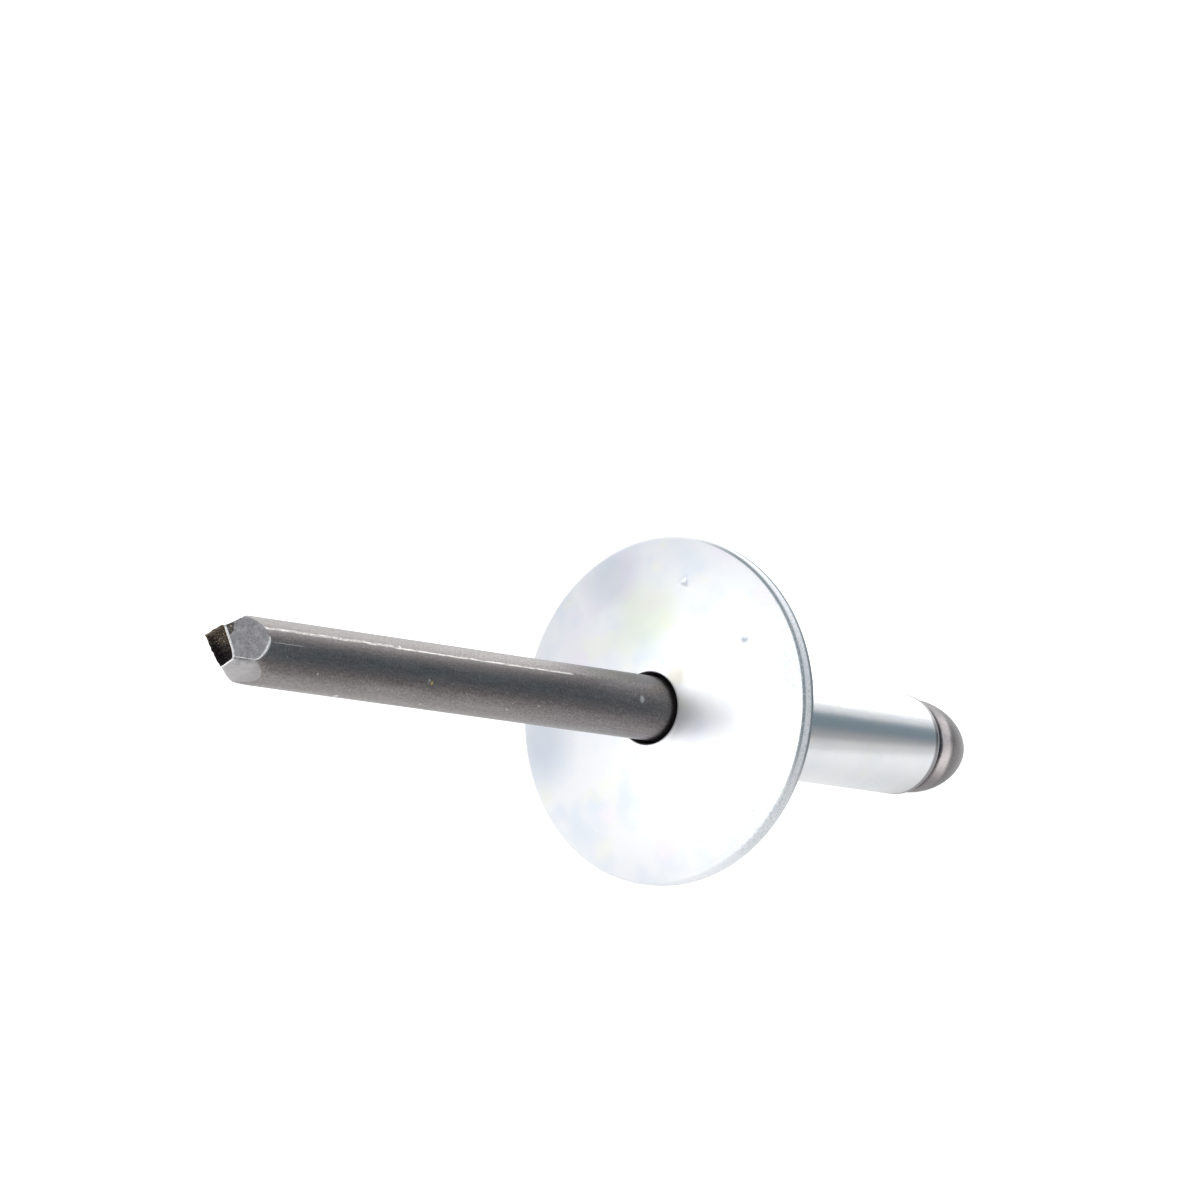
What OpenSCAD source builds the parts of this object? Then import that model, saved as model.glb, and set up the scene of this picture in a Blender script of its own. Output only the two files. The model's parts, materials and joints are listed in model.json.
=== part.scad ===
// Blind rivet with a large flange: a headed tubular sleeve on a steel mandrel, not yet set.
// Both pieces are turned shapes on one axis. Along that axis 0 is the flange's bearing face,
// the mandrel's head is on the positive side and its stem and tip are on the negative side.
// The whole rivet lies as it comes to rest: on its flange's rim and on the mandrel's head.

/* [Sleeve] */
// Wall of the shank
sleeve_wall = 0.75; // [0.5:0.05:1.2]
// Length of the shank behind the flange
shank_len = 18.3; // [8:0.1:30]
// Rounding of the shank's tail edge
tail_edge_r = 0.15; // [0.05:0.01:0.2]
// Fillet between the shank and the flange's bearing face
neck_fillet = 0.2; // [0.05:0.01:0.4]

/* [Flange] */
// Diameter of the flange
flange_d = 16; // [10:0.5:22]
// Thickness of the flange at its rim
rim_t = 0.8; // [0.5:0.05:1.2]
// Rounding of the rim's two edges
rim_edge_r = 0.2; // [0.05:0.01:0.24]
// Rise of the crown from the rim to the mouth of the bore
crown_h = 1.1; // [0.6:0.05:1.8]
// Radius of the crown's slightly bowed line
crown_r = 40; // [25:1:120]
// Rounding of the bore's mouth
mouth_r = 0.06; // [0.03:0.01:0.15]

/* [Mandrel stem] */
// Diameter of the stem
stem_d = 2.95; // [2.4:0.05:3.6]
// Gap round the stem in the bore
stem_gap = 0.175; // [0.05:0.025:0.3]
// Length of stem that stands out of the bore's mouth
stem_out = 30.3; // [20:0.1:45]
// Diameter of the break neck
break_d = 2.2; // [1.5:0.05:2.35]
// Length of the break neck's notch
break_len = 0.9; // [0.5:0.1:2]
// Distance from the head's seat to the middle of the notch
break_pos = 3; // [1.5:0.1:6]

/* [Mandrel head] */
// Step from the shank's outside in to the head's outside
head_inset = 0.16; // [0.05:0.01:0.25]
// Chamfer of the head's seat edge
seat_chamfer = 0.2; // [0.05:0.01:0.22]
// Straight land of the head above its seat edge
head_land = 0.3; // [0.1:0.05:1]
// Length of the head
head_len = 4.4; // [3:0.1:6]
// Radius of the head's nose
nose_r = 1.2; // [0.4:0.05:1.3]

/* [Mandrel tip] */
// Long side of the pinched end face
tip_long = 1.52; // [1:0.01:1.8]
// Short side of the pinched end face
tip_short = 1; // [0.6:0.01:1.4]
// Slope of the two cuts beside the long sides
steep_cut = 31; // [20:1:45]
// Slope of the two cuts beside the short sides
shallow_cut = 21; // [12:1:40]
// Turn of the end face about the axis
tip_turn = 50; // [0:1:90]

/* [Hidden] */
$fn = 144;

// Radii that follow from the sizes above
stem_r = stem_d / 2;
bore_r = stem_r + stem_gap;
shank_r = bore_r + sleeve_wall;
flange_r = flange_d / 2;
head_r = shank_r - head_inset;
break_r = break_d / 2;

// Centres of the flange section's roundings, as [radius, place along the axis]
rim_front = [flange_r - rim_edge_r, rim_edge_r - rim_t];
rim_back = [flange_r - rim_edge_r, -rim_edge_r];
mouth = [bore_r + mouth_r, mouth_r - rim_t - crown_h];

// Centre of a circle of radius r that holds two smaller ones, each touching it from inside
function round_over(a, ra, b, rb, r) =
    let (
        span = norm(b - a),
        u = (b - a) / span,
        along = ((r - ra) * (r - ra) - (r - rb) * (r - rb) + span * span) / (2 * span),
        off = sqrt((r - ra) * (r - ra) - along * along)
    )
    a + along * u + off * [-u[1], u[0]];

// Point where a circle at c of radius r touches the larger one around it, centred at big
function touch(c, r, big) = c + r * (c - big) / norm(c - big);

crown_mid = round_over(mouth, mouth_r, rim_front, rim_edge_r, crown_r);
crown_in = touch(mouth, mouth_r, crown_mid);
crown_out = touch(rim_front, rim_edge_r, crown_mid);
mouth_end = -rim_t - crown_h;

// The head: a land, an ogive arc of radius ogive_r and a round nose
ogive_from = shank_len + seat_chamfer + head_land;
nose_mid = shank_len + head_len - nose_r;
nose_run = nose_mid - ogive_from;
ogive_r = (head_r * head_r + nose_run * nose_run - nose_r * nose_r) / (2 * (head_r - nose_r));
ogive_mid = [head_r - ogive_r, ogive_from];
nose_touch = touch([0, nose_mid], nose_r, ogive_mid);
ogive_end = asin(nose_run / (ogive_r - nose_r));

// The tip's end, and the corners of its end face in the plane across the axis
tip_end = mouth_end - stem_out;
tip_corners = [for (a = [-1, 1], b = [-1, 1])
    [a * tip_short / 2 * cos(tip_turn) - b * tip_long / 2 * sin(tip_turn),
     a * tip_short / 2 * sin(tip_turn) + b * tip_long / 2 * cos(tip_turn)]];

// Tilt at which a line under the flange's back edge also touches a circle at c of radius r
function lean_on(c, r) =
    let (
        run = c[1] - rim_back[1],
        drop = rim_back[0] - c[0]
    )
    atan2(drop, run) - asin((r - rim_edge_r) / norm([run, drop]));

// It rests on the ogive or, past the ogive's end, on the nose, or else on the shank's tail edge
ogive_lean = lean_on(ogive_mid, ogive_r);
head_lean = ogive_lean <= ogive_end ? ogive_lean : lean_on([0, nose_mid], nose_r);
tail_edge = [shank_r - tail_edge_r, shank_len - tail_edge_r];
tilt = min(head_lean, lean_on(tail_edge, tail_edge_r));

// Height of the axis' zero over the floor, and the shift that centres the length on the origin
lift = rim_back[1] * sin(tilt) + rim_back[0] * cos(tilt) + rim_edge_r;
x_nose = nose_mid * cos(tilt) + nose_r;
x_tip = tip_end * cos(tilt) - max([for (c = tip_corners) c[0]]) * sin(tilt);
shift = -(x_nose + x_tip) / 2;

// Lays an upright shape down as the rivet rests, with its head towards +X
module laid_down() {
    translate([shift, 0, lift]) rotate([0, 90 + tilt, 0]) children();
}

// A rectangle of the section, from one corner to the other
module block(a, b) {
    translate([min(a[0], b[0]), min(a[1], b[1])])
        square([abs(b[0] - a[0]), abs(b[1] - a[1])]);
}

module spot(c, r) {
    translate(c) circle(r);
}

// Half section of the flange: bowed crown, rounded mouth and rounded rim, on one flat disc
module flange_section() {
    block([bore_r, rim_front[1]], [rim_back[0], 0]);
    block([bore_r, mouth[1]], [crown_in[0], 0]);
    spot(mouth, mouth_r);
    intersection() {
        translate(crown_mid) circle(crown_r, $fn = 720);
        block([crown_in[0], 0], [crown_out[0], mouth_end - 1]);
    }
    block([crown_out[0] - rim_edge_r, rim_front[1]], [flange_r, rim_back[1]]);
    spot(rim_front, rim_edge_r);
    spot(rim_back, rim_edge_r);
}

// Half section of the shank: straight tube, fillet under the flange, rounded tail edge.
// The tube and the fillet start inside the flange, so that all of them join into one.
module shank_section() {
    block([bore_r, rim_back[1]], [shank_r, tail_edge[1]]);
    block([bore_r, 0], [tail_edge[0], shank_len]);
    spot(tail_edge, tail_edge_r);
    difference() {
        block([bore_r, rim_back[1]], [shank_r + neck_fillet, neck_fillet]);
        spot([shank_r + neck_fillet, neck_fillet], neck_fillet);
    }
}

module rivet_sleeve() {
    color([0.84, 0.86, 0.88])
        laid_down()
        rotate_extrude() {
            flange_section();
            shank_section();
        }
}

// Half section of the mandrel's head, from its seat on the sleeve's tail to its nose
module head_section() {
    polygon([
        [0, shank_len],
        [head_r - seat_chamfer, shank_len],
        [head_r, shank_len + seat_chamfer],
        [head_r, ogive_from],
        [0, ogive_from]
    ]);
    intersection() {
        spot(ogive_mid, ogive_r);
        block([0, ogive_from], [head_r, nose_touch[1]]);
    }
    intersection() {
        spot([0, nose_mid], nose_r);
        block([0, ogive_from], [nose_r, nose_mid + nose_r]);
    }
}

// Half section of the stem, notched at the break neck
module stem_section() {
    break_mid = shank_len - break_pos;
    polygon([
        [0, tip_end],
        [stem_r, tip_end],
        [stem_r, break_mid - break_len / 2],
        [break_r, break_mid],
        [stem_r, break_mid + break_len / 2],
        [stem_r, shank_len],
        [0, shank_len]
    ]);
}

// One flat cut of the tip: it starts half a width from the axis and leans out by an angle
module tip_cut(half_width, angle) {
    translate([half_width, 0, tip_end])
        rotate([0, angle, 0])
        translate([0, -stem_d, -stem_d])
        cube([stem_d, 2 * stem_d, 8 * stem_d]);
}

module mandrel() {
    color([0.36, 0.35, 0.35])
        laid_down()
        difference() {
            rotate_extrude() {
                head_section();
                stem_section();
            }
            rotate([0, 0, tip_turn])
                for (side = [0, 180]) {
                    rotate([0, 0, side]) tip_cut(tip_short / 2, steep_cut);
                    rotate([0, 0, side + 90]) tip_cut(tip_long / 2, shallow_cut);
                }
        }
}

rivet_sleeve();
mandrel();
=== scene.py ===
import json
import math

import bpy
import numpy as np
from mathutils import Matrix, Vector


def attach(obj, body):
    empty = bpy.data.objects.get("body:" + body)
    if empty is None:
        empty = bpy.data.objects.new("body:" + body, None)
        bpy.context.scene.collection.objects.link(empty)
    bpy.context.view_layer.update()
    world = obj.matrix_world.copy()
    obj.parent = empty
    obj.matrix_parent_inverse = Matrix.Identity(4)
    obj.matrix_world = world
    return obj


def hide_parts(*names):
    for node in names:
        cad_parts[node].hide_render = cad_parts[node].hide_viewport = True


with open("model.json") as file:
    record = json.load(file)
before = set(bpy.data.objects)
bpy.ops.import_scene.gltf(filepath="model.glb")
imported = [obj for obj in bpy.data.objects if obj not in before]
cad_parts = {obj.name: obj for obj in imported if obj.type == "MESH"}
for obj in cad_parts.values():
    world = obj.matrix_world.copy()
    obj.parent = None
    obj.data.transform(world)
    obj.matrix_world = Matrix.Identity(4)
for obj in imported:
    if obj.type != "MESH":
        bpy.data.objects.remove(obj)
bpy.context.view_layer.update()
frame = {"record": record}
mm = 0.001

# The rivet's own axes: z runs along it to the mandrel's head from 0 on the flange's bearing face,
# x points across it and down, y is level
mounts = {m["name"]: m for m in frame["record"]["mounts"]}
toHead = Vector(mounts["shank"]["axis"]).normalized()
onAxis = Vector(mounts["shank"]["pos_m"])
bearing = Vector(mounts["bearing_face"]["pos_m"])
zeroPoint = onAxis + toHead * (bearing - onAxis).dot(toHead)
turned = Matrix((Vector((toHead.z, 0, -toHead.x)), Vector((0, 1, 0)), toHead)).transposed()


# A node's output socket, so that shader sums read as sums
class Socket:
    def __init__(self, tree, plug=None):
        self.tree, self.plug = tree, plug

    def node(self, kind, settings=None, values=None, out=0):
        made = self.tree.nodes.new(kind)
        for key, value in (settings or {}).items():
            setattr(made, key, value)
        for key, value in (values or {}).items():
            if isinstance(value, Socket):
                self.tree.links.new(value.plug, made.inputs[key])
            else:
                made.inputs[key].default_value = value
        return Socket(self.tree, made.outputs[out]) if made.outputs else None

    def sum(self, operation, first, second):
        return self.node("ShaderNodeMath", {"operation": operation}, {0: first, 1: second})

    def __add__(self, other):
        return self.sum("ADD", self, other)

    def __radd__(self, other):
        return self.sum("ADD", other, self)

    def __sub__(self, other):
        return self.sum("SUBTRACT", self, other)

    def __rsub__(self, other):
        return self.sum("SUBTRACT", other, self)

    def __mul__(self, other):
        return self.sum("MULTIPLY", self, other)

    def __rmul__(self, other):
        return self.sum("MULTIPLY", other, self)


# Colour mixing and the few textures that the finishes share

def blendColours(factor, low, high):
    low = (*low, 1) if isinstance(low, tuple) else low
    high = (*high, 1) if isinstance(high, tuple) else high
    return factor.node("ShaderNodeMix", {"data_type": "RGBA", "clamp_factor": True},
                       {0: factor, 6: low, 7: high}, out=2)


def coordinates(place):
    return [place.node("ShaderNodeSeparateXYZ", None, {0: place}, out=n) for n in range(3)]


def stretched(place, x, y, z):
    return place.node("ShaderNodeVectorMath", {"operation": "MULTIPLY"}, {0: place, 1: (x, y, z)})


def grain(place, size, detail=2.0, rough=0.5, offset=0.0):
    moved = place.node("ShaderNodeVectorMath", {"operation": "ADD"}, {0: place, 1: (offset, offset, offset)})
    return place.node("ShaderNodeTexNoise", {"noise_dimensions": "3D"},
                      {"Vector": moved, "Scale": 1 / size, "Detail": detail, "Roughness": rough})


def between(value, low, high):
    return value.node("ShaderNodeMapRange", {"interpolation_type": "SMOOTHSTEP"},
                      {"Value": value, "From Min": low, "From Max": high, "To Min": 0.0, "To Max": 1.0})


def distanceFrom(place, spot):
    return place.node("ShaderNodeVectorMath", {"operation": "DISTANCE"}, {0: place, 1: spot}, out=1)


# A line along the wire: 1 on it, 0 beside it; angles in degrees round the axis, widths in mm
def wireLine(place, angle, start, end, width, waver=0.0):
    wander = grain(place, 0.8, 1.0, 0.5, 50.0) - 0.5
    x, y, z = coordinates(place)
    a = math.radians(angle)
    side = y * math.cos(a) - x * math.sin(a) + wander * waver
    front = between(x * math.cos(a) + y * math.sin(a), 0.2, 0.6)
    off = side.node("ShaderNodeMath", {"operation": "ABSOLUTE"}, {0: side})
    ends = between(z, start, start + 0.3) * (1 - between(z, end - 0.3, end))
    return (1 - between(off, width * 0.3, width)) * front * ends


def startMaterial(name):
    material = bpy.data.materials.new(name)
    material.use_nodes = True
    tree = material.node_tree
    tree.nodes.clear()
    paint = Socket(tree)
    coords = paint.node("ShaderNodeTexCoord", out=3)
    # the same place in millimetres along the rivet's own axes
    place = paint.node("ShaderNodeMapping", {"vector_type": "TEXTURE"},
                       {"Vector": coords, "Location": zeroPoint, "Rotation": turned.to_euler(),
                        "Scale": (mm, mm, mm)})
    return material, paint, place


def finishMaterial(paint, bumps, **sockets):
    normal = None
    for height, distance in bumps:
        values = {"Height": height, "Distance": distance * mm, "Strength": 1.0}
        if normal:
            values["Normal"] = normal
        normal = paint.node("ShaderNodeBump", None, values)
    values = {key.replace("_", " "): value for key, value in sockets.items()}
    if normal:
        values["Normal"] = normal
    shader = paint.node("ShaderNodeBsdfPrincipled", {"distribution": "MULTI_GGX"}, values)
    paint.node("ShaderNodeOutputMaterial", None, {"Surface": shader})


# Mesh code shared by the two turned pieces

def smoothStep(value, low, high):
    t = np.clip((value - low) / (high - low), 0, 1)
    return t * t * (3 - 2 * t)


# Soft random heights over an angle and a length, the same on every run
def ripple(angle, along, size, seed):
    waves, fullTurn = 14, 6.283
    chance = np.random.default_rng(seed)
    total = np.zeros(np.broadcast(angle, along).shape)
    for _ in range(waves):
        turns = chance.integers(1, max(2, int(2.5 / size)) + 1)
        speed = chance.normal() * 2 / size
        total = total + np.cos(turns * angle + speed * along + chance.uniform(0, fullTurn))
    return total / math.sqrt(waves)


def turnedSkin(name, radius, along, angles, closed, materials, zones=None):
    rows, columns = radius.shape
    x, y = radius * np.cos(angles), radius * np.sin(angles)
    points = np.stack([x, y, along], axis=-1).reshape(-1, 3) * mm
    row, column = np.meshgrid(np.arange(rows if closed else rows - 1), np.arange(columns), indexing="ij")
    nextRow, nextColumn = (row + 1) % rows, (column + 1) % columns
    quads = np.stack([row * columns + column, row * columns + nextColumn,
                      nextRow * columns + nextColumn, nextRow * columns + column], axis=-1).reshape(-1, 4)
    faces = quads.tolist()
    zone = [] if zones is None else zones[:len(row)].reshape(-1).tolist()
    if not closed:     # a fan closes each end on the axis
        for end, ring, back in ((0, 0, True), (1, rows - 1, False)):
            points = np.vstack([points, [0, 0, along[ring].mean() * mm]])
            centre = len(points) - 1
            for c in range(columns):
                edge = [ring * columns + c, ring * columns + (c + 1) % columns]
                faces.append([centre] + (edge[::-1] if back else edge))
            if zones is not None:
                zone += [int(zones[min(ring, rows - 2), 0])] * columns
    points = points @ np.array(turned).T + np.array(zeroPoint)
    mesh = bpy.data.meshes.new(name)
    mesh.from_pydata(points.tolist(), [], faces)
    for material in materials:
        mesh.materials.append(material)
    if zones is not None:
        mesh.polygons.foreach_set("material_index", zone)
    mesh.update()
    mesh.shade_smooth()
    piece = bpy.data.objects.new(name, mesh)
    bpy.context.scene.collection.objects.link(piece)
    print("  ", name, len(mesh.polygons), "faces")
    return piece


def arc(centre, radius, start, end, count):
    turn = np.radians(np.linspace(start, end, count))
    return [(centre[0] + radius * math.cos(t), centre[1] + radius * math.sin(t)) for t in turn]


def fromAxis(distance, angle):
    return distance * math.cos(math.radians(angle)), distance * math.sin(math.radians(angle))


# Camera, floor and light

view = {
    "place": (-253.81, -203.27, 92.07),    # mm
    "azimuth": -51.241, "elevation": 13.542,
    "lens": 222.9, "sensor": 36.0,
}

camera = bpy.data.objects.new("camera", bpy.data.cameras.new("camera"))
camera.data.lens, camera.data.sensor_width = view["lens"], view["sensor"]
camera.data.clip_start, camera.data.clip_end = 0.01, 20
a, e = math.radians(view["azimuth"]), math.radians(view["elevation"])
back = Vector((math.sin(a) * math.cos(e), -math.cos(a) * math.cos(e), math.sin(e)))
camera.location = Vector(view["place"]) * mm
camera.rotation_euler = (-back).to_track_quat("-Z", "Y").to_euler()
bpy.context.scene.collection.objects.link(camera)
bpy.context.scene.camera = camera

studio = {
    "floorSize": 3.0, "floorShade": 0.45, "floorGlow": 0.54, "floorShown": 1.0,
    "world": (0.76, 0.77, 0.79), "worldStrength": 1.0,
    # name, azimuth from +X, elevation, distance m, width m, height m, radiance, colour
    "panels": [
        ("windowLeft", 165, 14, 0.7, 0.62, 0.42, 1.35, (1.0, 1.0, 0.99)),
        ("softboxAbove", 40, 78, 0.8, 0.5, 0.5, 1.2, (1.0, 1.0, 1.0)),
        ("backPanel", 26, 24, 0.8, 1.05, 0.45, 1.2, (1.0, 1.0, 0.99)),
    ],
    # cards that only reflections see, by their corners in mm: one stands dark beside the rivet and one
    # before the camera; two lie on the floor beside the rivet as a painted shadow there, darker then paler
    "cards": [
        ([(-16, -30, 0), (120, -30, 0), (120, -30, 10.4), (-16, -30, 50)], (0.16, 0.215, 0.25)),
        ([(-169, -62, 0), (-101, -148, 0), (-101, -148, 100), (-169, -62, 100)], (0.10, 0.12, 0.13)),
        ([(-45, -30, 0.3), (120, -30, 0.3), (120, -11, 0.3), (-45, -11, 0.3)], (0.32, 0.32, 0.33)),
        ([(-45, -11, 0.3), (120, -11, 0.3), (120, -6, 0.3), (-45, -6, 0.3)], (0.66, 0.66, 0.66)),
    ],
}


def addFloor():
    half = studio["floorSize"] / 2
    mesh = bpy.data.meshes.new("floor")
    corners = [(-half, -half, 0), (half, -half, 0), (half, half, 0), (-half, half, 0)]
    mesh.from_pydata(corners, [], [(0, 1, 2, 3)])
    floor = bpy.data.objects.new("floor", mesh)
    bpy.context.scene.collection.objects.link(floor)
    material = bpy.data.materials.new("paleFloor")
    material.use_nodes = True
    material.node_tree.nodes.clear()
    paint = Socket(material.node_tree)
    shade = studio["floorShade"]
    diffuse = paint.node("ShaderNodeBsdfDiffuse", None, {"Color": (shade, shade, shade, 1)})
    glows = [paint.node("ShaderNodeEmission", None, {"Color": (1, 1, 1, 1), "Strength": studio[key]})
             for key in ("floorGlow", "floorShown")]
    # the camera sees the floor washed out to plain white
    seen = paint.node("ShaderNodeLightPath", out=0)
    glow = paint.node("ShaderNodeMixShader", None, {0: seen, 1: glows[0], 2: glows[1]})
    lit = paint.node("ShaderNodeAddShader", None, {0: diffuse, 1: glow})
    paint.node("ShaderNodeOutputMaterial", None, {"Surface": lit})
    mesh.materials.append(material)


def addCard(corners, shade):
    mesh = bpy.data.meshes.new("darkCard")
    mesh.from_pydata([Vector(c) * mm for c in corners], [], [(0, 1, 2, 3)])
    card = bpy.data.objects.new("darkCard", mesh)
    bpy.context.scene.collection.objects.link(card)
    material = bpy.data.materials.new("darkCard")
    material.use_nodes = True
    material.node_tree.nodes.clear()
    paint = Socket(material.node_tree)
    paint.node("ShaderNodeOutputMaterial", None,
               {"Surface": paint.node("ShaderNodeEmission", None, {"Color": (*shade, 1)})})
    mesh.materials.append(material)
    card.visible_camera = card.visible_diffuse = card.visible_shadow = False


def addPanel(name, azimuth, elevation, distance, width, height, radiance, colour):
    lamp = bpy.data.lights.new(name, "AREA")
    lamp.shape, lamp.size, lamp.size_y = "RECTANGLE", width, height
    lamp.energy = radiance * math.pi * width * height
    lamp.color = colour
    panel = bpy.data.objects.new(name, lamp)
    az, el = math.radians(azimuth), math.radians(elevation)
    out = Vector((math.cos(az) * math.cos(el), math.sin(az) * math.cos(el), math.sin(el)))
    panel.location = out * distance + Vector((0, 0, 0.01))
    panel.rotation_euler = out.to_track_quat("Z", "Y").to_euler()
    bpy.context.scene.collection.objects.link(panel)


addFloor()
for card in studio["cards"]:
    addCard(*card)
for panel in studio["panels"]:
    addPanel(*panel)
world = bpy.data.worlds.new("world")
world.use_nodes = True
world.node_tree.nodes["Background"].inputs["Color"].default_value = (*studio["world"], 1)
world.node_tree.nodes["Background"].inputs["Strength"].default_value = studio["worldStrength"]
bpy.context.scene.world = world
bpy.context.scene.view_settings.view_transform = "Standard"
print("camera, floor and light done")


# Sleeve: zinc plated, with a bowed flange

sleeve = {
    "boreR": 1.65, "shankR": 2.4, "shankLen": 18.3, "tailEdge": 0.3, "boreEdge": 0.05,
    "flangeR": 8.0, "rimT": 0.8, "rimEdge": 0.2, "crownH": 1.1, "bowR": 40.0, "mouthR": 0.06,
    "neckFillet": 0.2,
    "columns": 300, "crownRows": 92,
    # pits in the flange's face: distance from the axis, angle, size, depth, all in mm and degrees
    "pits": [(5.79, -133, 0.15, 0.04), (3.32, -37, 0.06, 0.025), (3.05, -32, 0.045, 0.018),
             (6.9, -95, 0.05, 0.015), (4.6, 62, 0.06, 0.014), (6.3, 20, 0.07, 0.016),
             (5.2, -70, 0.05, 0.012), (6.7, 118, 0.06, 0.016)],
    "nick": (5.95, -177, 0.33, 0.035),      # a three-cornered nick, same measures
    "wave": 0.006,
    "white": (0.90, 0.915, 0.935), "blue": (0.80, 0.845, 0.905), "straw": (0.92, 0.93, 0.82),
    "pink": (0.92, 0.87, 0.95), "speckled": (0.62, 0.66, 0.72), "worn": (0.55, 0.60, 0.63),
    "stain": (-1.69, -1.26, -1.85), "stained": (0.60, 0.54, 0.36),
    "shankGrey": (0.88, 0.885, 0.885), "tailGrooveShade": (0.20, 0.19, 0.20), "rimPale": (0.90, 0.92, 0.94),
    "frontCornerReflection": (0.16, 0.21, 0.23), "backCornerReflection": (0.14, 0.19, 0.22),
    # patches of the plate's face, dull spots at a pit and the nick and a greenish tint, the rest painted
    # reflections, bluish grey on the +y side and lavender grey on the -y side of the hole where the stem is
    # mirrored: x, y, size, depth of shade, colour
    "marksAndReflections": [(2.7, 6.2, 2.6, 0.70, (0.62, 0.66, 0.74)), (-5.6, 3.9, 2.2, 0.55, (0.62, 0.66, 0.74)),
             (-3.9, 1.2, 2.6, 0.45, (0.74, 0.82, 0.60)), (-3.95, -4.24, 0.26, 0.9, (0.60, 0.64, 0.72)),
             (-5.94, -0.31, 0.34, 0.5, (0.60, 0.64, 0.70)), (0.5, -2.6, 1.3, 0.28, (0.60, 0.62, 0.74)),
             (0.3, -4.6, 1.6, 0.14, (0.60, 0.62, 0.80))],
    "faceRough": 0.38, "shankRough": 0.25, "rimRough": 0.55,
}


def zincPlate():
    material, paint, place = startMaterial("zincPlate")
    cloud = grain(place, 2.6, 2.0, 0.5)
    warmCloud = grain(place, 1.9, 2.0, 0.5, 37.0)
    pinkCloud = grain(place, 2.2, 1.0, 0.5, 71.0)
    speckle = grain(place, 0.09, 3.0, 0.7, 11.0)
    colour = blendColours(between(cloud, 0.42, 0.66), sleeve["white"], sleeve["blue"])
    colour = blendColours(between(warmCloud, 0.54, 0.68) * 0.5, colour, sleeve["straw"])
    colour = blendColours(between(pinkCloud, 0.56, 0.70) * 0.7, colour, sleeve["pink"])
    colour = blendColours(between(speckle, 0.60, 0.80) * 0.30, colour, sleeve["speckled"])
    stain = 1 - between(distanceFrom(place, sleeve["stain"]) + (speckle - 0.5) * 0.5, 0.15, 0.75)
    colour = blendColours(stain * 0.5, colour, sleeve["stained"])
    x, y, along = coordinates(place)
    flat = stretched(place, 1, 1, 0)
    # the listed marks and painted reflections, and the wear, lie on the face and don't show on the bearing
    # side
    onFace = 1 - between(along, -0.10, -0.02)
    for *spot, size, shade, tint in sleeve["marksAndReflections"]:
        away = distanceFrom(flat, (*spot, 0)) + (cloud - 0.5) * size * 0.8
        colour = blendColours((1 - between(away, size * 0.2, size)) * shade * onFace, colour, tint)
    shank = between(along, -0.3, 0.3)
    colour = blendColours(shank * 0.6, colour, sleeve["shankGrey"])
    # painted shade darkens the shank's end where it meets the head, and painted dark reflections lie along
    # the rim's two corners
    colour = blendColours(between(along, 17.70, 17.90) * 0.85, colour, sleeve["tailGrooveShade"])
    reach = flat.node("ShaderNodeVectorMath", {"operation": "LENGTH"}, {0: flat}, out=1)
    # painted dark reflections along the rim's front and back corners, on the side toward the camera
    side = between(x * -0.7 - y, 5.2, 8.2)
    front = between(reach, 7.84, 7.88) * (1 - between(along, -0.74, -0.66)) * side
    behind = between(reach, 7.80, 7.95) * between(along, -0.38, -0.26) * side
    onRim = between(reach, 7.80, 7.90) * (1 - shank)
    colour = blendColours(onRim * 0.7, colour, sleeve["rimPale"])
    colour = blendColours(front * 0.85, colour, sleeve["frontCornerReflection"])
    worn = between(reach, 5.9, 7.4) * between(y * -1, 4.0, 6.5) * between(speckle, 0.50, 0.62)
    colour = blendColours(worn * 0.8 * onFace, colour, sleeve["worn"])
    colour = blendColours(behind * 0.85, colour, sleeve["backCornerReflection"])
    # hair scratches in three directions
    scratches = None
    for number, way in enumerate(((0.25, 14, 3), (12, 0.3, 3), (7, 7, 0.2))):
        lines = grain(stretched(place, *way), 1.0, 1.0, 0.4, 5.0 * number)
        fine = between(lines, 0.68, 0.76)
        scratches = fine if scratches is None else scratches + fine
    base = sleeve["faceRough"] + shank * (sleeve["shankRough"] - sleeve["faceRough"])
    base = base + onRim * (sleeve["rimRough"] - sleeve["faceRough"])
    rough = base + (cloud - 0.5) * 0.10 + (speckle - 0.5) * 0.10 * (1 - shank)
    rough = rough + scratches * 0.05 * (1 - shank)
    swell = grain(place, 0.5, 2.0, 0.5, 3.0)
    finishMaterial(paint, [(swell, 0.003), (speckle, 0.0010), (scratches, -0.0008)],
                   Base_Color=colour, Metallic=1 - onRim * 0.55, Roughness=rough)
    return material


# The face's outline from the bore's mouth to the rim, as distance from the axis and place along it
def crownLine(count):
    s = sleeve
    mouth = np.array([s["boreR"] + s["mouthR"], s["mouthR"] - s["rimT"] - s["crownH"]])
    rim = np.array([s["flangeR"] - s["rimEdge"], s["rimEdge"] - s["rimT"]])
    span = np.linalg.norm(rim - mouth)
    u = (rim - mouth) / span
    ra, rb, r = s["mouthR"], s["rimEdge"], s["bowR"]
    along = ((r - ra) ** 2 - (r - rb) ** 2 + span * span) / (2 * span)
    middle = mouth + along * u + math.sqrt((r - ra) ** 2 - along ** 2) * np.array([-u[1], u[0]])
    first = math.degrees(math.atan2(*(mouth - middle)[::-1])) + 360
    last = math.degrees(math.atan2(*(rim - middle)[::-1])) + 360
    bow = arc(middle, r, first, last, count)[1:-1]
    return arc(mouth, ra, 180, first, 6) + bow + arc(rim, rb, last, 360, 8)


# Even angles round the axis, with closer ones across each mark
def markedAngles(count, marks):
    angles = list(np.linspace(-180, 180, count, endpoint=False))
    for distance, angle, size in marks:
        reach = math.degrees(2.6 * size / distance)
        angles += list(angle + np.linspace(-reach, reach, 18))
    angles = np.unique(np.round((np.array(angles) + 180) % 360 - 180, 3))
    return np.radians(angles[np.append(np.diff(angles) > 0.05, True)])


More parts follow.
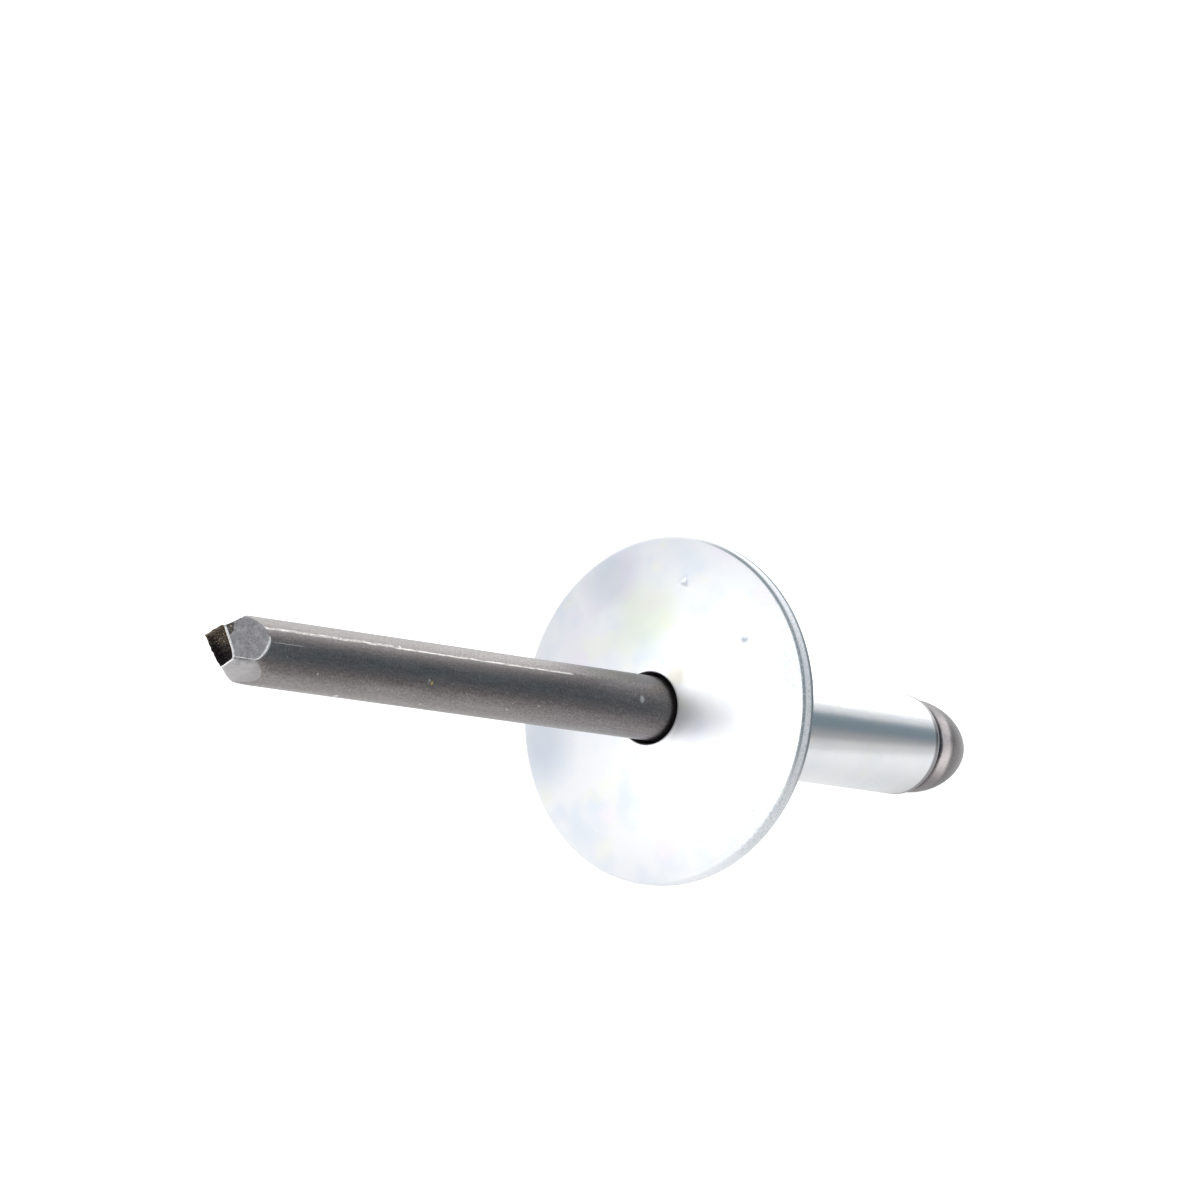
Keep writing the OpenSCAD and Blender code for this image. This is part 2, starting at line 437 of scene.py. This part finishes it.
def makeSleeve():
    s = sleeve
    front = crownLine(s["crownRows"])
    line = front + arc((s["flangeR"] - s["rimEdge"], -s["rimEdge"]), s["rimEdge"], 0, 90, 7)
    inner = s["shankR"] + s["neckFillet"]
    line += [(r, 0.0) for r in np.linspace(s["flangeR"] - s["rimEdge"], inner, 14)[1:-1]]
    line += arc((inner, s["neckFillet"]), s["neckFillet"], 270, 180, 6)
    line += [(s["shankR"], z) for z in np.linspace(s["neckFillet"], s["shankLen"] - s["tailEdge"], 46)[1:-1]]
    line += arc((s["shankR"] - s["tailEdge"], s["shankLen"] - s["tailEdge"]), s["tailEdge"], 0, 90, 6)
    line += arc((s["boreR"] + s["boreEdge"], s["shankLen"] - s["boreEdge"]), s["boreEdge"], 90, 180, 4)
    line += [(s["boreR"], z) for z in np.linspace(s["shankLen"] - s["boreEdge"], front[0][1], 16)[1:-1]]
    marks = [mark[:3] for mark in (*s["pits"], s["nick"])]
    angles = markedAngles(s["columns"], marks)
    radius = np.array([p[0] for p in line])[:, None] * np.ones(len(angles))
    along = np.array([p[1] for p in line])[:, None] * np.ones(len(angles))
    # only the flange's face and rim carry the marks
    face = (np.arange(len(line)) < len(front))[:, None] * smoothStep(radius, 1.75, 2.2)
    face = face * (1 - smoothStep(radius, 7.75, 7.95))
    x, y = radius * np.cos(angles), radius * np.sin(angles)
    depth = s["wave"] * ripple(angles, radius, 2.2, 3)
    for distance, angle, size, deep in s["pits"]:
        px, py = fromAxis(distance, angle)
        away = np.hypot(x - px, y - py) / size
        depth = depth + deep * (np.exp(-away ** 2) - 0.10 * np.exp(-((away - 1.7) / 0.5) ** 2))
    distance, angle, size, deep = s["nick"]
    px, py = fromAxis(distance, angle)
    sides = [(x - px) * math.cos(t) + (y - py) * math.sin(t) for t in np.radians((12, 128, 236))]
    away = np.maximum.reduce(sides) / (size * 0.42)
    hollow = (1 - smoothStep(away, 0.2, 1.0)) * smoothStep(away, -0.9, 0.3)
    depth = depth + deep * (hollow - 0.22 * np.exp(-((away - 1.2) / 0.3) ** 2))
    along = along + depth * face
    piece = turnedSkin("sleeve", radius, along, angles, True, [zincPlate()])
    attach(piece, "root")
    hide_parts("rivet_sleeve")


makeSleeve()
print("sleeve done")


# Mandrel: drawn wire with a headed end, a break neck and a pinched tip

mandrel = {
    "stemR": 1.475, "tipEnd": -32.2, "seat": 18.3, "breakR": 1.1, "breakLen": 0.9, "breakPos": 3.0,
    "headR": 2.24, "seatChamfer": 0.2, "land": 0.3, "headLen": 4.4, "noseR": 1.2,
    # the tip's cuts: the way each faces round the axis, its distance from the axis at the end, its slope
    "cuts": ((-124.5, 0.555, 30.5), (-36.5, 0.778, 21), (46.9, 0.417, 31), (148, 0.741, 21)),
    "columns": 400, "edgeSoft": (0.012, 0.15, 0.14, 0.012),
    "burr": 0.03, "pocket": 0.28, "corner": (-0.91, -0.06, -32.2),
    "steel": (0.305, 0.280, 0.276), "darkSteel": (0.225, 0.202, 0.20), "paleSteel": (0.44, 0.42, 0.41),
    "darkGrain": (0.14, 0.122, 0.122), "paleGrain": (0.46, 0.42, 0.42), "fleck": (0.66, 0.64, 0.60),
    "topStripShade": (0.20, 0.19, 0.18), "underStripReflection": (0.10, 0.09, 0.09), "bright": (0.88, 0.85, 0.82),
    "gold": (0.95, 0.72, 0.30), "rough": 0.36,
    # how far the lip round the torn end was pushed out and forward, cut by cut
    "lips": ((0.015, 0.03), (0.11, 0.10), (0.04, 0.03), (0.04, 0.14)),
    "glint": (0.20, -1.46, -19.5),
    # small bright nicks: angle, place along the axis, size
    "specks": ((-86, -19.72, 0.09), (-21, -24.7, 0.18), (-106, -4.3, 0.22), (-35, -19.3, 0.07),
               (-140, -21.5, 0.10), (-70, -27.2, 0.07), (-52, -13.6, 0.06)),
}


def drawnSteel():
    material, paint, place = startMaterial("drawnSteel")
    m = mandrel
    draw = grain(stretched(place, 1, 1, 0.10), 0.05, 3.0, 0.6)
    broad = grain(stretched(place, 1, 1, 0.12), 0.6, 2.0, 0.5, 9.0)
    speckle = grain(place, 0.11, 3.0, 0.75, 4.0)
    fleck = grain(stretched(place, 1, 1, 0.7), 0.10, 1.0, 0.5, 23.0)
    colour = blendColours(between(draw, 0.30, 0.70), m["darkSteel"], m["steel"])
    colour = blendColours(between(broad, 0.45, 0.75) * 0.25, colour, m["paleSteel"])
    colour = blendColours(between(speckle, 0.50, 0.66) * 0.55, colour, m["darkGrain"])
    colour = blendColours((1 - between(speckle, 0.34, 0.48)) * 0.4, colour, m["paleGrain"])
    colour = blendColours(between(fleck, 0.70, 0.78) * 0.7, colour, m["fleck"])
    # painted shade dims the bright strip along the top near the tip and the flange, a painted dark
    # reflection lies in a band below it, and single marks
    down, _, along = coordinates(place)
    down = down + (broad - 0.5) * 0.10
    strip = 1 - between(down, -1.17, -1.07)
    topStripShade = 1 - between(along, -23, -14) + between(along, -9, -4)
    colour = blendColours(strip * topStripShade * 0.55, colour, m["topStripShade"])
    below = between(down, -1.13, -1.05) * (1 - between(down, -0.85, -0.25)) * (1 - between(along, -9, -5))
    colour = blendColours(below * 0.55, colour, m["underStripReflection"])
    # the two long pale lines are a painted highlight along the top strip's edge, with a slight bump; the
    # short one is a scratch
    pale = wireLine(place, -138, -31.2, -21.8, 0.10, 0.14) * between(speckle, 0.30, 0.55)
    pale = pale + wireLine(place, -136, -22.0, -9.0, 0.07, 0.05)
    pale = pale * between(draw, 0.25, 0.55) + wireLine(place, -112, -30.6, -28.2, 0.025, 0.04) * 0.5
    for angle, z, size in m["specks"]:
        spot = (*fromAxis(m["stemR"], angle), z)
        pale = pale + (1 - between(distanceFrom(place, spot) + (draw - 0.5) * 0.1, size * 0.4, size))
    colour = blendColours(pale * 0.75, colour, m["bright"])
    gold = 1 - between(distanceFrom(place, m["glint"]), 0.04, 0.12)
    colour = blendColours(gold * 0.9, colour, m["gold"])
    rough = m["rough"] + (draw - 0.5) * 0.2 + (speckle - 0.5) * 0.3
    finishMaterial(paint, [(draw, 0.006), (speckle, 0.008), (pale, 0.006)],
                   Base_Color=colour, Metallic=1.0, Roughness=rough)
    return material


def cutSteel():
    material, paint, place = startMaterial("cutSteel")
    shear = grain(place, 0.09, 3.0, 0.65)
    patch = grain(place, 0.35, 2.0, 0.5, 8.0)
    colour = blendColours(between(shear, 0.3, 0.7), (0.25, 0.245, 0.255), (0.40, 0.395, 0.405))
    colour = blendColours(between(patch, 0.45, 0.65) * 0.5, colour, (0.50, 0.49, 0.50))
    # painted light from below makes the cut facing down paler, toned darker near the end, and the metal tore
    # dark beside the end's upper corner
    down, _, along = coordinates(place)
    lowerCutLight = between(down + (patch - 0.5) * 0.4, 0.25, 0.75)
    colour = blendColours(lowerCutLight * 0.55, colour, (0.62, 0.60, 0.59))
    colour = blendColours(lowerCutLight * between(along, -31.4, -30.5) * 0.6, colour, (0.34, 0.32, 0.325))
    torn = distanceFrom(place, mandrel["corner"]) + (patch - 0.5) * 0.6 + (shear - 0.5) * 0.3
    colour = blendColours((1 - between(torn, 0.38, 0.50)) * 0.85, colour, (0.07, 0.06, 0.05))
    # painted glints round the torn corner
    tornGlints = between(shear, 0.62, 0.70) * (1 - between(torn, 0.5, 0.65))
    colour = blendColours(tornGlints, colour, (0.75, 0.70, 0.60))
    finishMaterial(paint, [(shear, 0.012), (patch, 0.03)], Base_Color=colour, Metallic=1.0,
                   Roughness=0.40 + (shear - 0.5) * 0.3)
    return material


def tornSteel():
    material, paint, place = startMaterial("tornSteel")
    rough = grain(place, 0.16, 4.0, 0.7)
    blotch = grain(place, 0.3, 2.0, 0.6, 15.0)
    glint = grain(place, 0.05, 2.0, 0.6, 31.0)
    down = coordinates(place)[0]
    # lighter towards the top of the torn end
    high = 1 - between(down + (blotch - 0.5) * 0.9, -0.70, 0.25)
    colour = blendColours(high, (0.012, 0.008, 0.011), (0.11, 0.08, 0.05))
    colour = blendColours(between(glint, 0.54, 0.62) * (high * 0.8 + 0.12), colour, (0.60, 0.55, 0.45))
    finishMaterial(paint, [(rough, 0.08)], Base_Color=colour, Metallic=0.6,
                   Roughness=0.6 - between(glint, 0.6, 0.72) * 0.25)
    return material


def burrSteel():
    material, paint, place = startMaterial("burrSteel")
    speckle = grain(place, 0.08, 2.0, 0.6, 2.0)
    colour = blendColours(between(speckle, 0.35, 0.6), (0.72, 0.70, 0.70), (0.97, 0.97, 0.96))
    finishMaterial(paint, [(speckle, 0.01)], Base_Color=colour, Metallic=1.0, Roughness=0.25 + speckle * 0.2)
    return material


def headSteel():
    material, paint, place = startMaterial("headSteel")
    fine = grain(place, 0.12, 3.0, 0.6)
    broad = grain(place, 0.9, 2.0, 0.5, 6.0)
    # dark under the head and on the nose, with a painted pinkish highlight in a band between, across the
    # head's middle height
    across, _, along = coordinates(place)
    along = along + (broad - 0.5) * 0.3
    pale = between(along, 18.50, 18.72) * (1 - between(along, 19.15, 19.65)) * between(across, -1.9, -0.9)
    pale = pale * (1 - between(across, 0.3, 1.5) * 0.8)
    colour = blendColours(between(fine, 0.4, 0.7), (0.14, 0.13, 0.135), (0.20, 0.19, 0.19))
    colour = blendColours(pale * 0.9, colour, (0.80, 0.72, 0.72))
    finishMaterial(paint, [(fine, 0.005)], Base_Color=colour, Metallic=1 - pale * 0.5,
                   Roughness=0.30 + (fine - 0.5) * 0.2)
    return material


# Distance from the axis to the stem's surface near the tip, where four flat cuts pinch it
def tipRadius(angles, along):
    m = mandrel
    cuts, edgeOn, farOff = [], 0.05, 50.0
    for side, half, slope in m["cuts"]:
        facing = np.cos(angles - math.radians(side))
        reach = half + (along - m["tipEnd"]) * math.tan(math.radians(slope))
        flat = np.where(facing > edgeOn, reach / np.maximum(facing, edgeOn), farOff)
        cuts.append(np.minimum(flat, farOff))
    radius = np.full_like(cuts[0], m["stemR"])
    for reach, soft in zip(cuts, m["edgeSoft"]):
        least = np.minimum(radius, reach)
        radius = least - soft * np.log(np.exp((least - radius) / soft) + np.exp((least - reach) / soft))
    return radius, cuts


def makeMandrel():
    m = mandrel
    angles = np.linspace(-math.pi, math.pi, m["columns"], endpoint=False)
    tip = m["tipEnd"]
    # torn end face: a rough pocket inside a lip
    rim, cuts = tipRadius(angles, np.full(len(angles), tip))
    owner = np.argmin(cuts, axis=0)
    out, ahead = (np.array([lip[n] for lip in m["lips"]])[owner] for n in (0, 1))
    soften = np.hanning(15) / np.hanning(15).sum()
    out, ahead = (np.convolve(np.concatenate([v[-7:], v, v[:7]]), soften, "valid") for v in (out, ahead))
    ragged = np.clip(1 + 0.28 * ripple(angles, 0, 0.18, 5), 0.3, 1.7)
    out, ahead = out * ragged, ahead * ragged
    share = np.concatenate([np.linspace(0.05, 0.84, 16), np.linspace(0.87, 1.0, 7)])[:, None]
    faceR = share * (rim + out)
    x, y = faceR * np.cos(angles), faceR * np.sin(angles)
    rough = 0.06 * np.sin(9 * x + 4 * y) * np.cos(11 * y - 3) + 0.05 * np.sin(17 * x - 12 * y + 1)
    faceZ = tip + (m["pocket"] + rough) * (1 - smoothStep(share, 0.72, 0.93))
    faceZ = faceZ - ahead * smoothStep(share, 0.80, 0.95)
    # the cuts, then the plain stem
    rows = np.concatenate([tip + np.linspace(0.012, 2.5, 110), np.linspace(tip + 2.7, -1.9, 46),
                           np.linspace(-1.2, 13.6, 8)])
    cutR, cuts = tipRadius(angles, rows[:, None])
    nearest = np.minimum.reduce(cuts)
    others = np.minimum(np.minimum.reduce(cuts[1:]), m["stemR"])
    wavy = np.clip(1 + 0.45 * ripple(angles, rows[:, None], 0.4, 20), 0.1, 2)
    degrees = np.degrees(angles)
    low = 0.3 + 0.7 * smoothStep(degrees, -128, -100) * (1 - smoothStep(degrees, -50, -30))
    ridge = m["burr"] * np.exp(-((cuts[0] - others) / 0.045) ** 2) * wavy * low
    fromEnd = rows[:, None] - tip
    stemR = cutR + ridge + out * np.exp(-fromEnd / 0.12)
    stemR = stemR + 0.0022 * ripple(angles, rows[:, None] * 0.02, 0.12, 8)
    stemZ = rows[:, None] - ahead * np.exp(-fromEnd / 0.06)
    # break neck, head and nose
    neck = m["seat"] - m["breakPos"]
    line = [(m["stemR"], neck - m["breakLen"] / 2), (m["breakR"], neck),
            (m["stemR"], neck + m["breakLen"] / 2), (m["stemR"], m["seat"])]
    seatR = m["headR"] - m["seatChamfer"] - 0.04
    line += [(r, m["seat"]) for r in (1.7, 1.9, seatR)]
    line += arc((seatR, m["seat"] + 0.04), 0.04, 270, 315, 3)[1:]
    line += arc((m["headR"] - 0.06, m["seat"] + m["seatChamfer"] + 0.03), 0.06, 315, 360, 3)
    start = m["seat"] + m["seatChamfer"] + m["land"]
    noseZ = m["seat"] + m["headLen"] - m["noseR"]
    run = noseZ - start
    bulge = (m["headR"] ** 2 + run ** 2 - m["noseR"] ** 2) / (2 * (m["headR"] - m["noseR"]))
    last = math.degrees(math.asin(run / (bulge - m["noseR"])))
    line += arc((m["headR"] - bulge, start), bulge, 0, last, 22)
    line += arc((0, noseZ), m["noseR"], last, 88, 14)[1:]
    headR = np.array([p[0] for p in line])[:, None] * np.ones(len(angles))
    headZ = np.array([p[1] for p in line])[:, None] * np.ones(len(angles))
    radius = np.vstack([faceR, stemR, headR])
    along = np.vstack([faceZ, stemZ, headZ])
    # which finish each face takes: 0 wire, 1 flat cut, 2 torn, 3 burr, 4 head
    zones = np.zeros(radius.shape, int)
    faceRows = len(faceR)
    lipZone, edgeZone = np.array([3, 3, 2, 2])[owner], np.array([3, 3, 2, 3])[owner]
    zones[:faceRows - 3] = 2
    zones[faceRows - 3:faceRows] = lipZone
    body = zones[faceRows:faceRows + len(rows)]
    body[nearest < m["stemR"]] = 1
    body[(ridge > m["burr"] * 0.38) & (nearest < m["stemR"] + 0.06)] = 3
    zones[faceRows - 1] = edgeZone
    body[0], body[1] = edgeZone, lipZone
    zones[faceRows + len(rows) + 3:] = 4
    piece = turnedSkin("mandrel", radius, along, angles, False,
                       [drawnSteel(), cutSteel(), tornSteel(), burrSteel(), headSteel()], zones)
    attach(piece, "root")
    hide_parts("mandrel")


makeMandrel()
print("mandrel done")
